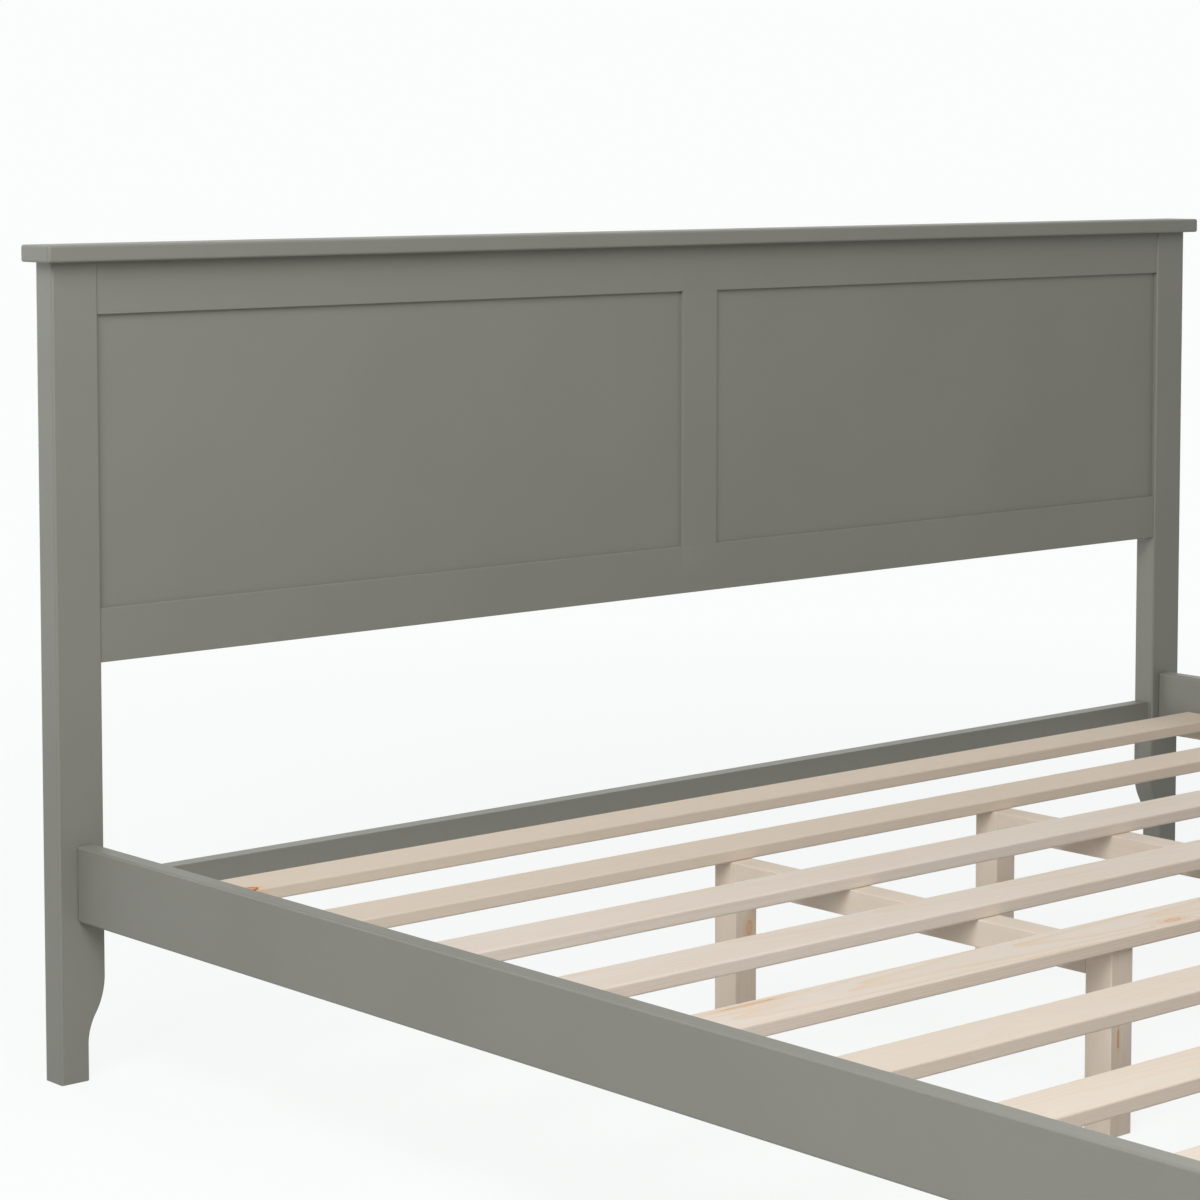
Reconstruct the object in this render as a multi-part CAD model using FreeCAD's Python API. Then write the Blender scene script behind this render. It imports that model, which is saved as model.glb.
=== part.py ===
import FreeCAD, Part
import math
import os

from FreeCAD import Vector

# A king-size panel bed: a painted frame-and-panel headboard, two painted side rails that
# hook into the posts, a low foot end, and ten pine slats on cleats and four support stands.
# X runs across the bed, Y from the foot to the head, Z up from the floor. The origin is on
# the floor, in the middle of the outer box. Sizes are in millimetres.

os.makedirs("parts", exist_ok=True)

# ---------------------------------------------------------------- driving dimensions

# The well that takes the mattress, between the side rails and between the end posts.
WELL_WIDTH = 1944.0
WELL_LENGTH = 2045.0

# Posts. The inner side of each foot is drawn in by an ogee: a convex arc over a concave one.
POST_WIDTH = 62.0
POST_DEPTH = 36.0
POST_EDGE = 3.0
TOE_WIDTH = 38.5
OGEE_TOP = 124.0
OGEE_BOTTOM = 43.0
OGEE_CONVEX_SHARE = 0.56
HEAD_POST_HEIGHT = 966.0
FOOT_POST_RISE = 14.0
FOOT_POST_BEVEL = 2.0

# Headboard frame.
CAP_THICKNESS = 20.0
CAP_SIDE_OVERHANG = 14.0
CAP_FRONT_OVERHANG = 16.0
CAP_BACK_OVERHANG = 10.0
CAP_EDGE = 3.0
CAP_CORNER = 4.0
FRAME_THICKNESS = 22.0
FRAME_SETBACK = 2.0
FRAME_ARRIS = 0.5
TOP_RAIL_HEIGHT = 62.0
PANEL_OPENING_HEIGHT = 345.0
BOTTOM_RAIL_HEIGHT = 64.0
MULLION_WIDTH = 63.0
PANEL_THICKNESS = 12.0
GROOVE_DEPTH = 10.0
PANEL_GAP = 2.0
TENON_LENGTH = 22.0
TENON_SHOULDER = 10.0

# Low cross rail between the head posts.
CROSS_RAIL_HEIGHT = 45.0
CROSS_RAIL_SETBACK = 8.5
CROSS_TENON_THICKNESS = 12.0
CROSS_TENON_SHOULDER = 8.0

# Side rails and foot rail.
RAIL_BOTTOM = 192.0
RAIL_HEIGHT = 90.0
RAIL_THICKNESS = 24.0
RAIL_INSET = 24.0
RAIL_EDGE = 3.0

# Slats and the cleats under their ends.
SLAT_COUNT = 10
SLAT_WIDTH = 70.5
SLAT_THICKNESS = 16.0
SLAT_ARRIS = 1.8
SLAT_END_GAP = 60.0
SLAT_SIDE_CLEARANCE = 2.0
CLEAT_HEIGHT = 21.0
CLEAT_THICKNESS = 20.0
CLEAT_END_CLEARANCE = 20.0
CLEAT_ARRIS = 1.2

# Support stands: a beam between the tops of two legs, twice on each of two lines. The legs
# stand under slats, a little to the foot side of the slat's middle in the head half.
STAND_OFFSET = 240.0
OUTER_LEG_SLAT = 2
OUTER_LEG_SHIFT = 22.5
INNER_LEG_SLAT = SLAT_COUNT // 2
INNER_LEG_SHIFT = 8.0
LEG_WIDTH = 36.0
LEG_DEPTH = 38.0
LEG_ARRIS = 1.8
BEAM_HEIGHT = 33.0
BEAM_ARRIS = 1.8

# Hook plates in the rail ends and keeper plates in the posts.
PLATE_WIDTH = 16.0
PLATE_HEIGHT = 68.0
PLATE_THICKNESS = 3.0
HOOK_THICKNESS = 4.0
HOOK_TONGUE = 8.0
HOOK_LIP_DROP = 5.0
HOOK_LIP_DEPTH = 5.0
HOOK_PITCH = 20.0
HOOK_START = 18.0
SLOT_WIDTH = 5.0
SLOT_HEIGHT = 14.0
POCKET_WIDTH = 8.0
POCKET_MARGIN = 1.0
POCKET_DEPTH = 7.0
MORTISE_WALL = 3.0

# Screws and dowels.
SCREW_HEAD_RADIUS = 4.0
SCREW_SHANK_RADIUS = 2.0
SCREW_HEAD_DEPTH = 2.4
SLAT_SCREW_LENGTH = 30.0
CLEAT_SCREW_LENGTH = 38.0
STAND_SCREW_LENGTH = 42.0
PLATE_SCREW_HEAD_RADIUS = 3.6
PLATE_SCREW_HEAD_DEPTH = 2.0
PLATE_SCREW_LENGTH = 14.0
PLATE_SCREW_INSET = 6.0
SCREW_SIDES = 6
DOWEL_RADIUS = 4.0
DOWEL_SIDES = 8
CAP_DOWEL_LENGTH = 34.0
CAP_DOWEL_IN_CAP = 12.0
STAND_DOWEL_LENGTH = 36.0
STAND_DOWEL_IN_LEG = 16.0
STAND_DOWEL_SPACING = 16.0

# Clearances.
JOINT_CLEARANCE = 0.1
TENON_END_GAP = 1.0
HOLE_END_GAP = 0.5
HOOK_CLEARANCE = 0.2

# ---------------------------------------------------------------- places that follow

POSTS_HALF_SPAN = WELL_WIDTH / 2 + RAIL_THICKNESS + RAIL_INSET
POST_INNER_X = POSTS_HALF_SPAN - POST_WIDTH
HEAD_FACE_Y = (WELL_LENGTH - CAP_BACK_OVERHANG) / 2
FOOT_FACE_Y = HEAD_FACE_Y - WELL_LENGTH
WELL_MIDDLE_Y = (HEAD_FACE_Y + FOOT_FACE_Y) / 2
RAIL_TOP = RAIL_BOTTOM + RAIL_HEIGHT
RAIL_CENTRE_X = WELL_WIDTH / 2 + RAIL_THICKNESS / 2
SLAT_BOTTOM = RAIL_BOTTOM + CLEAT_HEIGHT
SLAT_TOP = SLAT_BOTTOM + SLAT_THICKNESS
SLAT_PITCH = (WELL_LENGTH - 2 * SLAT_END_GAP - SLAT_WIDTH) / (SLAT_COUNT - 1)
TOP_RAIL_BOTTOM = HEAD_POST_HEIGHT - TOP_RAIL_HEIGHT
BOTTOM_RAIL_TOP = TOP_RAIL_BOTTOM - PANEL_OPENING_HEIGHT
BOTTOM_RAIL_BOTTOM = BOTTOM_RAIL_TOP - BOTTOM_RAIL_HEIGHT
FRAME_FRONT_Y = HEAD_FACE_Y + FRAME_SETBACK
PANEL_CENTRE_Y = FRAME_FRONT_Y + FRAME_THICKNESS / 2
CROSS_FRONT_Y = HEAD_FACE_Y + CROSS_RAIL_SETBACK
CROSS_CENTRE_Y = CROSS_FRONT_Y + FRAME_THICKNESS / 2
FOOT_CENTRE_Y = FOOT_FACE_Y - POST_DEPTH / 2
PLATE_BOTTOM = RAIL_BOTTOM + (RAIL_HEIGHT - PLATE_HEIGHT) / 2
LOW_TENON_LENGTH = POST_WIDTH - (POSTS_HALF_SPAN - RAIL_CENTRE_X) - POCKET_WIDTH / 2 - MORTISE_WALL


# ---------------------------------------------------------------- shared shapes

def block(x_range, y_range, z_range):
    """A plain rectangular block between two ends on each axis."""
    low = Vector(min(x_range), min(y_range), min(z_range))
    high = Vector(max(x_range), max(y_range), max(z_range))
    return Part.makeBox(high.x - low.x, high.y - low.y, high.z - low.z, low)


def span(centre, width):
    """The two ends of a length laid evenly about its centre."""
    return centre - width / 2, centre + width / 2


def edges_along(solid, direction):
    """The straight edges of a solid that run along one direction."""
    def runs_along(edge):
        return abs(edge.tangentAt(edge.FirstParameter).dot(direction)) > 0.999

    return [edge for edge in solid.Edges if runs_along(edge)]


def rounded_stick(x_range, y_range, z_range, direction, radius):
    """A planed length of wood whose four long edges are rounded over."""
    blank = block(x_range, y_range, z_range)
    return blank.makeFillet(radius, edges_along(blank, direction))


def eased_stick(x_range, y_range, z_range, direction, arris):
    """A planed length of wood whose four long edges are only eased by a narrow flat."""
    blank = block(x_range, y_range, z_range)
    return blank.makeChamfer(arris, edges_along(blank, direction))


def flat_sided_solid(rings):
    """A solid with flat sides between matching rings of corners, closed at both ends."""
    outlines = [rings[0], rings[-1]]
    for near, far in zip(rings, rings[1:]):
        outlines += [[near[n - 1], near[n], far[n], far[n - 1]] for n in range(len(near))]
    faces = [Part.Face(Part.makePolygon(corners + corners[:1])) for corners in outlines]
    solid = Part.Solid(Part.Shell(faces))
    if solid.Volume < 0:
        solid.reverse()
    return solid


def flat_sided_pin(start, direction, stations, sides):
    """A straight pin with flat sides, from pairs of distance along it and radius there."""
    axis = Vector(direction).normalize()
    side = Vector(0, 0, 1) if abs(axis.z) < 0.5 else Vector(1, 0, 0)
    across = axis.cross(side)
    turns = [2 * math.pi * (number + 0.5) / sides for number in range(sides)]
    spokes = [side * math.cos(turn) + across * math.sin(turn) for turn in turns]
    rings = []
    for along, radius in stations:
        rings.append([start + axis * along + spoke * radius for spoke in spokes])
    return flat_sided_solid(rings)


def hipped_block(x_range, y_range, top, bevel):
    """A block that stands on the floor, with a narrow bevel round its top."""
    stations = [(0.0, 0.0), (top - bevel, 0.0), (top, bevel)]
    rings = []
    for height, inset in stations:
        left, right = min(x_range) + inset, max(x_range) - inset
        near, far = min(y_range) + inset, max(y_range) - inset
        ring = [(left, near), (right, near), (right, far), (left, far)]
        rings.append([Vector(x, y, height) for x, y in ring])
    return flat_sided_solid(rings)


def dowel(start, direction, length, clearance=0.0):
    """A wooden dowel, or with a clearance the hole that takes it, from one of its ends."""
    gap = HOLE_END_GAP if clearance else 0.0
    radius = DOWEL_RADIUS + clearance
    return flat_sided_pin(start, direction, [(-gap, radius), (length + gap, radius)], DOWEL_SIDES)


def screw(start, direction, length, head_radius, head_depth, clearance=0.0):
    """A countersunk screw, or with a clearance the hole for it, from the middle of its head."""
    shank = SCREW_SHANK_RADIUS + clearance
    end = length + (HOLE_END_GAP if clearance else 0.0)
    stations = [(0.0, head_radius + clearance), (head_depth + clearance, shank), (end, shank)]
    return flat_sided_pin(start, direction, stations, SCREW_SIDES)


def wood_screw(start, direction, length, clearance=0.0):
    """One of the screws that hold slats, cleats and beams, or the hole that takes it."""
    return screw(start, direction, length, SCREW_HEAD_RADIUS, SCREW_HEAD_DEPTH, clearance)


def mirrored_x(solid):
    """The same piece on the other side of the bed."""
    return solid.mirror(Vector(0, 0, 0), Vector(1, 0, 0))


def mirrored_y(solid):
    """The same piece at the other end of the mattress well."""
    return solid.mirror(Vector(0, WELL_MIDDLE_Y, 0), Vector(0, 1, 0))


def carve(solid, tools):
    """Take every tool out of a solid."""
    for tool in tools:
        solid = solid.cut(tool)
    return solid


def four_corners(solids):
    """Copies of the left head corner's pieces at all four corners of the bed."""
    left = list(solids) + [mirrored_y(solid) for solid in solids]
    return left + [mirrored_x(solid) for solid in left]


def save(name, shape):
    """Write one node; a list of solids becomes one group of separate solids."""
    if isinstance(shape, list):
        shape = Part.makeCompound(shape)
    shape.exportStep("parts/" + name + ".step")


# ---------------------------------------------------------------- corner hardware

def plate_block(y_range, clearance=0.0):
    """A steel plate at the left rail's centre line, or with a clearance the recess for it."""
    low = PLATE_BOTTOM - clearance
    high = PLATE_BOTTOM + PLATE_HEIGHT + clearance
    return block(span(-RAIL_CENTRE_X, PLATE_WIDTH + 2 * clearance), y_range, (low, high))


def plate_recess():
    """The recess for a flush plate, cut from the joint between rail and post to either side."""
    y_range = (HEAD_FACE_Y - PLATE_THICKNESS, HEAD_FACE_Y + PLATE_THICKNESS)
    return plate_block(y_range, JOINT_CLEARANCE)


def hook_bottoms():
    """Heights at which the two hooks' tongues sit on their slots."""
    return [PLATE_BOTTOM + HOOK_START + HOOK_PITCH * number for number in range(2)]


def plate_screw_heights():
    return PLATE_BOTTOM + PLATE_SCREW_INSET, PLATE_BOTTOM + PLATE_HEIGHT - PLATE_SCREW_INSET


def rail_plate_screws(clearance=0.0):
    """Screws of the hook plate, into the end of the left side rail at the head."""
    back = Vector(0, -1, 0)
    return [
        screw(
            Vector(-RAIL_CENTRE_X, HEAD_FACE_Y, height), back, PLATE_SCREW_LENGTH,
            PLATE_SCREW_HEAD_RADIUS, PLATE_SCREW_HEAD_DEPTH, clearance
        )
        for height in plate_screw_heights()
    ]


def post_plate_screws(clearance=0.0):
    """Screws of the keeper plate, into the face of the left head post."""
    joint = Vector(0, HEAD_FACE_Y, 0)
    return [solid.mirror(joint, Vector(0, 1, 0)) for solid in rail_plate_screws(clearance)]


def hook_plate():
    """The plate in the rail end with its two hooks, whose lips drop behind the keeper."""
    solid = plate_block((HEAD_FACE_Y - PLATE_THICKNESS, HEAD_FACE_Y))
    solid = carve(solid, rail_plate_screws(JOINT_CLEARANCE))
    lip_front = HEAD_FACE_Y + PLATE_THICKNESS + HOOK_CLEARANCE
    lip_back = lip_front + HOOK_LIP_DEPTH
    for bottom in hook_bottoms():
        x_range = span(-RAIL_CENTRE_X, HOOK_THICKNESS)
        top = bottom + HOOK_TONGUE
        tongue = block(x_range, (HEAD_FACE_Y - PLATE_THICKNESS, lip_back), (bottom, top))
        lip = block(x_range, (lip_front, lip_back), (bottom - HOOK_LIP_DROP, top))
        solid = solid.fuse(tongue).fuse(lip)
    return solid.removeSplitter()


def keeper_plate():
    """The plate in the post, with a slot for each hook."""
    solid = plate_block((HEAD_FACE_Y, HEAD_FACE_Y + PLATE_THICKNESS))
    solid = carve(solid, post_plate_screws(JOINT_CLEARANCE))
    y_range = (HEAD_FACE_Y - PLATE_THICKNESS, HEAD_FACE_Y + 2 * PLATE_THICKNESS)
    slots = [
        block(span(-RAIL_CENTRE_X, SLOT_WIDTH), y_range, (bottom, bottom + SLOT_HEIGHT))
        for bottom in hook_bottoms()
    ]
    return carve(solid, slots)


def hook_pocket():
    """The pocket behind the keeper, in which the hooks' lips travel."""
    low = min(hook_bottoms()) - HOOK_LIP_DROP - POCKET_MARGIN
    high = max(hook_bottoms()) + SLOT_HEIGHT + POCKET_MARGIN
    front = HEAD_FACE_Y + PLATE_THICKNESS
    return block(span(-RAIL_CENTRE_X, POCKET_WIDTH), (HEAD_FACE_Y, front + POCKET_DEPTH), (low, high))


def post_hardware_cuts():
    """Everything that the keeper plate needs cut into the left head post."""
    return [plate_recess(), hook_pocket()] + post_plate_screws(JOINT_CLEARANCE)


# ---------------------------------------------------------------- posts

def post_blank(height, front_y, back_y):
    """A left post: outer side straight, inner side drawn in to the toe by the ogee, edges rounded."""
    outer = -POSTS_HALF_SPAN
    inner = -POST_INNER_X
    toe = outer + TOE_WIDTH
    run = inner - toe
    drop = OGEE_TOP - OGEE_BOTTOM
    radii = (run ** 2 + drop ** 2) / (2 * run)
    turn = 2 * math.atan2(run, drop)
    convex = radii * OGEE_CONVEX_SHARE
    concave = radii - convex

    def on_convex(angle):
        x = inner - convex + convex * math.cos(angle)
        return Vector(x, front_y, OGEE_TOP - convex * math.sin(angle))

    def on_concave(angle):
        x = toe + concave - concave * math.cos(angle)
        return Vector(x, front_y, OGEE_BOTTOM + concave * math.sin(angle))

    corner = [Vector(outer, front_y, height), Vector(outer, front_y, 0), Vector(toe, front_y, 0)]
    outline = [
        Part.LineSegment(corner[0], corner[1]).toShape(),
        Part.LineSegment(corner[1], corner[2]).toShape(),
        Part.LineSegment(corner[2], on_concave(0)).toShape(),
        Part.Arc(on_concave(0), on_concave(turn / 2), on_concave(turn)).toShape(),
        Part.Arc(on_convex(turn), on_convex(turn / 2), on_convex(0)).toShape(),
        Part.LineSegment(on_convex(0), Vector(inner, front_y, height)).toShape(),
        Part.LineSegment(Vector(inner, front_y, height), corner[0]).toShape(),
    ]
    solid = Part.Face(Part.Wire(outline)).extrude(Vector(0, back_y - front_y, 0))

    def is_long(edge):
        heights = [vertex.Z for vertex in edge.Vertexes]
        runs_through = abs(edge.Vertexes[0].Y - edge.Vertexes[-1].Y) > 1
        return not runs_through and max(heights) > 1 and min(heights) < height - 1

    return solid.makeFillet(POST_EDGE, [edge for edge in solid.Edges if is_long(edge)])


def post_mortise(centre_y, thickness, z_range, length):
    """The mortise for a tenon that enters the inner face of a left post."""
    tip = -POST_INNER_X - length - TENON_END_GAP
    low, high = z_range
    heights = (low - JOINT_CLEARANCE, high + JOINT_CLEARANCE)
    depths = span(centre_y, thickness + 2 * JOINT_CLEARANCE)
    return block((tip, -POST_INNER_X + POST_EDGE), depths, heights)


def top_tenon_heights():
    return TOP_RAIL_BOTTOM + GROOVE_DEPTH, HEAD_POST_HEIGHT - TENON_SHOULDER


def bottom_tenon_heights():
    return BOTTOM_RAIL_BOTTOM + TENON_SHOULDER, BOTTOM_RAIL_TOP - GROOVE_DEPTH


def cross_tenon_heights():
    return RAIL_BOTTOM + CROSS_TENON_SHOULDER, RAIL_BOTTOM + CROSS_RAIL_HEIGHT - CROSS_TENON_SHOULDER


def foot_tenon_heights():
    return RAIL_BOTTOM + TENON_SHOULDER, RAIL_TOP - TENON_SHOULDER


def panel_groove(x_range, y_centre, z_range):
    """A groove as wide as the panel is thick, with the joint clearance on both faces."""
    return block(x_range, span(y_centre, PANEL_THICKNESS + 2 * JOINT_CLEARANCE), z_range)


def head_post():
    """Left head post with its mortises, panel groove, cap dowel hole and keeper plate recess."""
    solid = post_blank(HEAD_POST_HEIGHT, HEAD_FACE_Y, HEAD_FACE_Y + POST_DEPTH)
    cuts = [
        post_mortise(PANEL_CENTRE_Y, PANEL_THICKNESS, top_tenon_heights(), TENON_LENGTH),
        post_mortise(PANEL_CENTRE_Y, PANEL_THICKNESS, bottom_tenon_heights(), TENON_LENGTH),
        post_mortise(CROSS_CENTRE_Y, CROSS_TENON_THICKNESS, cross_tenon_heights(), LOW_TENON_LENGTH),
        panel_groove(
            (-POST_INNER_X - GROOVE_DEPTH, -POST_INNER_X + POST_EDGE),
            PANEL_CENTRE_Y,
            (BOTTOM_RAIL_TOP - GROOVE_DEPTH, TOP_RAIL_BOTTOM + GROOVE_DEPTH),
        ),
        cap_dowel(-cap_post_dowel_x(), JOINT_CLEARANCE),
    ]
    return carve(solid, cuts + post_hardware_cuts())


def foot_post():
    """Left foot post with the foot rail's mortise and its keeper plate recess."""
    top = RAIL_TOP + FOOT_POST_RISE
    y_range = (FOOT_FACE_Y - POST_DEPTH, FOOT_FACE_Y)
    envelope = hipped_block((-POSTS_HALF_SPAN, -POST_INNER_X), y_range, top, FOOT_POST_BEVEL)
    solid = post_blank(top, *y_range).common(envelope)
    heights = foot_tenon_heights()
    mortise = post_mortise(FOOT_CENTRE_Y, CROSS_TENON_THICKNESS, heights, LOW_TENON_LENGTH)
    return carve(solid, [mortise] + [mirrored_y(cut) for cut in post_hardware_cuts()])


# ---------------------------------------------------------------- headboard

def between_posts():
    return -POST_INNER_X, POST_INNER_X


def with_tenons(body, y_centre, tenon_thickness, tenon_range, tenon_length):
    """A rail with a tenon added at each end, to enter the posts."""
    reach = POST_INNER_X + tenon_length
    tenons = block((-reach, reach), span(y_centre, tenon_thickness), tenon_range)
    return body.fuse(tenons).removeSplitter()


def head_top_rail():
    """Top rail: grooved below for the panels, bored above for the cap's dowels."""
    y_range = span(PANEL_CENTRE_Y, FRAME_THICKNESS)
    z_range = (TOP_RAIL_BOTTOM, HEAD_POST_HEIGHT)
    body = eased_stick(between_posts(), y_range, z_range, Vector(1, 0, 0), FRAME_ARRIS)
    solid = with_tenons(body, PANEL_CENTRE_Y, PANEL_THICKNESS, top_tenon_heights(), TENON_LENGTH)
    groove_z = (TOP_RAIL_BOTTOM - FRAME_ARRIS, TOP_RAIL_BOTTOM + GROOVE_DEPTH)
    cuts = [panel_groove(between_posts(), PANEL_CENTRE_Y, groove_z)]
    cuts += [cap_dowel(x, JOINT_CLEARANCE) for x in cap_rail_dowel_xs()]
    return carve(solid, cuts)


def head_bottom_rail():
    """Bottom rail: grooved above for the panels."""
    y_range = span(PANEL_CENTRE_Y, FRAME_THICKNESS)
    z_range = (BOTTOM_RAIL_BOTTOM, BOTTOM_RAIL_TOP)
    body = eased_stick(between_posts(), y_range, z_range, Vector(1, 0, 0), FRAME_ARRIS)
    solid = with_tenons(body, PANEL_CENTRE_Y, PANEL_THICKNESS, bottom_tenon_heights(), TENON_LENGTH)
    groove_z = (BOTTOM_RAIL_TOP - GROOVE_DEPTH, BOTTOM_RAIL_TOP + FRAME_ARRIS)
    return carve(solid, [panel_groove(between_posts(), PANEL_CENTRE_Y, groove_z)])


def head_mullion():
    """Centre mullion: grooved on both sides, with stub tenons that fill the rails' grooves."""
    half = MULLION_WIDTH / 2
    z_range = (BOTTOM_RAIL_TOP, TOP_RAIL_BOTTOM)
    y_range = span(PANEL_CENTRE_Y, FRAME_THICKNESS)
    solid = eased_stick((-half, half), y_range, z_range, Vector(0, 0, 1), FRAME_ARRIS)
    stub = half - GROOVE_DEPTH
    reach = GROOVE_DEPTH - TENON_END_GAP
    stub_z = (BOTTOM_RAIL_TOP - reach, TOP_RAIL_BOTTOM + reach)
    stubs = block((-stub, stub), span(PANEL_CENTRE_Y, PANEL_THICKNESS), stub_z)
    solid = solid.fuse(stubs).removeSplitter()
    cuts = [
        panel_groove((side * stub, side * (half + FRAME_ARRIS)), PANEL_CENTRE_Y, z_range)
        for side in (-1, 1)
    ]
    return carve(solid, cuts)


def head_panel():
    """Left panel: it stands on the bottom groove, with room to swell at its sides and top."""
    tongue = GROOVE_DEPTH - PANEL_GAP
    x_range = (-POST_INNER_X - tongue, -MULLION_WIDTH / 2 + tongue)
    z_range = (BOTTOM_RAIL_TOP - GROOVE_DEPTH, TOP_RAIL_BOTTOM + tongue)
    return block(x_range, span(PANEL_CENTRE_Y, PANEL_THICKNESS), z_range)


def cap_post_dowel_x():
    """Distance from the centre line of the dowel between a post's mortise and its outer side."""
    return (POSTS_HALF_SPAN + POST_INNER_X + TENON_LENGTH + TENON_END_GAP) / 2


def cap_rail_dowel_xs():
    """Places of the dowels in the top rail: over the mullion and over each panel's middle."""
    panel_middle = (POST_INNER_X + MULLION_WIDTH / 2) / 2
    return [-panel_middle, 0.0, panel_middle]


def cap_dowel(x, clearance=0.0):
    """A dowel that stands in the frame and reaches up into the cap, or the hole for it."""
    start = Vector(x, PANEL_CENTRE_Y, HEAD_POST_HEIGHT + CAP_DOWEL_IN_CAP - CAP_DOWEL_LENGTH)
    return dowel(start, Vector(0, 0, 1), CAP_DOWEL_LENGTH, clearance)


def cap_dowels(clearance=0.0):
    places = [-cap_post_dowel_x()] + cap_rail_dowel_xs() + [cap_post_dowel_x()]
    return [cap_dowel(x, clearance) for x in places]


def head_cap():
    """Cap board over the posts and the top rail, rounded all round."""
    half = POSTS_HALF_SPAN + CAP_SIDE_OVERHANG
    y_range = (HEAD_FACE_Y - CAP_FRONT_OVERHANG, HEAD_FACE_Y + POST_DEPTH + CAP_BACK_OVERHANG)
    top = HEAD_POST_HEIGHT + CAP_THICKNESS
    z_range = (HEAD_POST_HEIGHT, top)
    solid = rounded_stick((-half, half), y_range, z_range, Vector(0, 0, 1), CAP_CORNER)
    rims = [
        edge
        for edge in solid.Edges
        if max(vertex.Z for vertex in edge.Vertexes) - min(vertex.Z for vertex in edge.Vertexes) < 1
    ]
    return carve(solid.makeFillet(CAP_EDGE, rims), cap_dowels(JOINT_CLEARANCE))


def head_cross_rail():
    """Low rail that ties the head posts behind the first slat."""
    y_range = span(CROSS_CENTRE_Y, FRAME_THICKNESS)
    z_range = (RAIL_BOTTOM, RAIL_BOTTOM + CROSS_RAIL_HEIGHT)
    body = eased_stick(between_posts(), y_range, z_range, Vector(1, 0, 0), FRAME_ARRIS)
    heights = cross_tenon_heights()
    return with_tenons(body, CROSS_CENTRE_Y, CROSS_TENON_THICKNESS, heights, LOW_TENON_LENGTH)


def foot_rail():
    """Rail that ties the foot posts, level with the side rails."""
    y_range = span(FOOT_CENTRE_Y, RAIL_THICKNESS)
    z_range = (RAIL_BOTTOM, RAIL_TOP)
    body = rounded_stick(between_posts(), y_range, z_range, Vector(1, 0, 0), RAIL_EDGE)
    heights = foot_tenon_heights()
    return with_tenons(body, FOOT_CENTRE_Y, CROSS_TENON_THICKNESS, heights, LOW_TENON_LENGTH)


# ---------------------------------------------------------------- side rails, cleats and slats

def slat_centre_y(number):
    """Place of a slat's middle line; slat 1 is nearest the head."""
    return HEAD_FACE_Y - SLAT_END_GAP - SLAT_WIDTH / 2 - SLAT_PITCH * (number - 1)


def cleat_centre_x():
    return WELL_WIDTH / 2 - CLEAT_THICKNESS / 2


def cleat_screws(clearance=0.0):
    """Level screws from the left cleat into the side rail, in every second gap between the slats."""
    face = -WELL_WIDTH / 2 + CLEAT_THICKNESS
    height = RAIL_BOTTOM + CLEAT_HEIGHT / 2
    places = [slat_centre_y(number) - SLAT_PITCH / 2 for number in range(1, SLAT_COUNT, 2)]
    starts = [Vector(face, y, height) for y in places]
    out = Vector(-1, 0, 0)
    return [wood_screw(start, out, CLEAT_SCREW_LENGTH, clearance) for start in starts]


def slat_screws(number, clearance=0.0):
    """The screws at the two ends of one slat, down into the cleats."""
    y = slat_centre_y(number)
    starts = [Vector(side * cleat_centre_x(), y, SLAT_TOP) for side in (-1, 1)]
    down = Vector(0, 0, -1)
    return [wood_screw(start, down, SLAT_SCREW_LENGTH, clearance) for start in starts]


def side_rail():
    """Left side rail with the hook plates' recesses in its ends and the cleat's screw holes."""
    x_range = (-WELL_WIDTH / 2 - RAIL_THICKNESS, -WELL_WIDTH / 2)
    y_range = (FOOT_FACE_Y, HEAD_FACE_Y)
    solid = rounded_stick(x_range, y_range, (RAIL_BOTTOM, RAIL_TOP), Vector(0, 1, 0), RAIL_EDGE)
    head_cuts = [plate_recess()] + rail_plate_screws(JOINT_CLEARANCE)
    foot_cuts = [mirrored_y(cut) for cut in head_cuts]
    return carve(solid, head_cuts + foot_cuts + cleat_screws(JOINT_CLEARANCE))


def slat_cleat():
    """Left cleat, flush with the underside of the side rail."""
    x_range = (-WELL_WIDTH / 2, -WELL_WIDTH / 2 + CLEAT_THICKNESS)
    y_range = (FOOT_FACE_Y + CLEAT_END_CLEARANCE, HEAD_FACE_Y - CLEAT_END_CLEARANCE)
    solid = eased_stick(x_range, y_range, (RAIL_BOTTOM, SLAT_BOTTOM), Vector(0, 1, 0), CLEAT_ARRIS)
    cuts = cleat_screws(JOINT_CLEARANCE)
    for number in range(1, SLAT_COUNT + 1):
        cuts.append(slat_screws(number, JOINT_CLEARANCE)[0])
    return carve(solid, cuts)


def slat(number, stand_cuts):
    """One slat, screwed down at both ends and, over the middle of a stand, from below."""
    half = WELL_WIDTH / 2 - SLAT_SIDE_CLEARANCE
    y_range = span(slat_centre_y(number), SLAT_WIDTH)
    solid = eased_stick((-half, half), y_range, (SLAT_BOTTOM, SLAT_TOP), Vector(1, 0, 0), SLAT_ARRIS)
    near = [cut for cut in stand_cuts if solid.BoundBox.intersect(cut.BoundBox)]
    return carve(solid, slat_screws(number, JOINT_CLEARANCE) + near)


# ---------------------------------------------------------------- support stands

def stand_leg_ranges():
    """Where the outer and the inner leg of a head stand lie along the bed."""
    outer = slat_centre_y(OUTER_LEG_SLAT) - OUTER_LEG_SHIFT
    inner = slat_centre_y(INNER_LEG_SLAT) - INNER_LEG_SHIFT
    return span(outer, LEG_DEPTH), span(inner, LEG_DEPTH)


def stand_leg(y_range):
    """A leg of the left head stand, from the floor to the underside of the slats."""
    x_range = span(-STAND_OFFSET, LEG_WIDTH)
    solid = eased_stick(x_range, y_range, (0, SLAT_BOTTOM), Vector(0, 0, 1), LEG_ARRIS)
    return carve(solid, stand_dowels(JOINT_CLEARANCE))


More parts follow.
